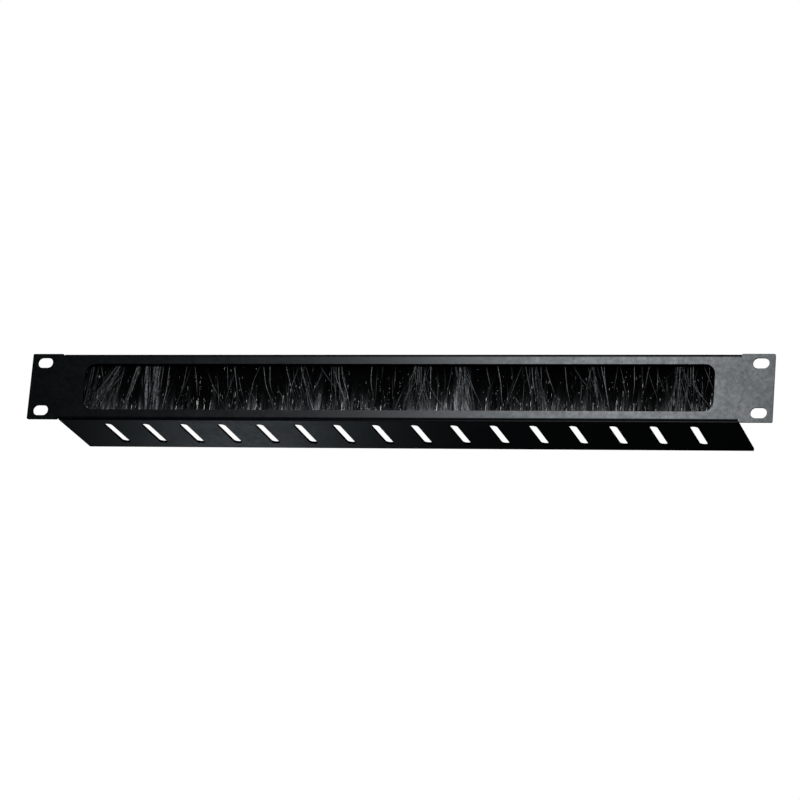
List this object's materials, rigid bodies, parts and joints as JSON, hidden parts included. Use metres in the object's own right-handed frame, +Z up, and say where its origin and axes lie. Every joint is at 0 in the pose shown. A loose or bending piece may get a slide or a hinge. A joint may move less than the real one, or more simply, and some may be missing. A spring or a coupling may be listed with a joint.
{
  "type": "rack brush strip panel",
  "caption": "One-unit 19-inch rack panel: folded black steel with a hanging nylon brush closing a long cable window, and a slotted flange for lacing cables.",
  "frame": {"origin": "centre of the four rack slots, on the rear face of the ears, where the rack rails touch it", "axes": "+X to the right as seen from the front, +Y to the back of the rack, +Z up"},
  "size_m": [0.4826, 0.0635, 0.0436],
  "materials": {
    "powder_coat": "fine matt black powder coat",
    "black_anodised": "satin black anodised extrusion",
    "zinc_plated": "bright zinc plate",
    "steel_wire": "drawn wire",
    "nylon_filament": "black nylon filaments with a soft sheen",
    "rivet_body": "plain rolled aluminium",
    "mandrel_steel": "zinc plated steel with a torn end"
  },
  "bodies": {
    "root": {"panel": "powder_coat", "brush_holder": "black_anodised", "brush_channel": "zinc_plated", "core_wire": "steel_wire", "bristles": "nylon_filament", "rivet_1": "rivet_body", "rivet_2": "rivet_body", "rivet_3": "rivet_body", "rivet_4": "rivet_body", "rivet_5": "rivet_body", "rivet_6": "rivet_body", "rivet_7": "rivet_body", "mandrel_1": "mandrel_steel", "mandrel_2": "mandrel_steel", "mandrel_3": "mandrel_steel", "mandrel_4": "mandrel_steel", "mandrel_5": "mandrel_steel", "mandrel_6": "mandrel_steel", "mandrel_7": "mandrel_steel"}
  },
  "joints": []
}
